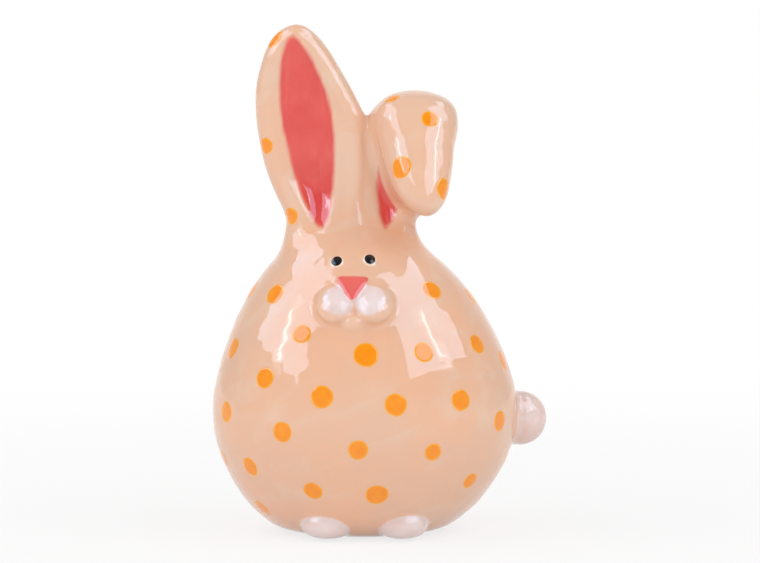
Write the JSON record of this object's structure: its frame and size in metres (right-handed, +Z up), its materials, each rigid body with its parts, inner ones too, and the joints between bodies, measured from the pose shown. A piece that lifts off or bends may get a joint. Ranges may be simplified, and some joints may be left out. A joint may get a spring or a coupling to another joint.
{
  "type": "ceramic rabbit figurine",
  "caption": "Glazed ceramic rabbit ornament with an egg-shaped body, one standing and one folded ear, a ball tail and small feet, which stands on its flat base.",
  "frame": {"origin": "middle of the base, on the plane that the figure stands on", "axes": "+Z up through the ears, -Y the way the rabbit faces, +X towards its left side, where the tail is"},
  "size_m": [0.0792, 0.0626, 0.12],
  "materials": {
    "peach_glaze": "gloss",
    "pink_glaze": "gloss",
    "white_glaze": "gloss",
    "black_glaze": "gloss"
  },
  "bodies": {
    "root": {"body_shell": "peach_glaze", "upright_ear": "peach_glaze", "upright_ear_lining": "pink_glaze", "folded_ear_stem": "peach_glaze", "folded_ear_lining": "pink_glaze", "folded_ear_flap": "peach_glaze", "tail": "white_glaze", "right_foot": "white_glaze", "left_foot": "white_glaze", "right_cheek": "white_glaze", "left_cheek": "white_glaze", "chin": "peach_glaze", "nose": "pink_glaze", "right_eye": "black_glaze", "left_eye": "black_glaze"}
  },
  "joints": []
}
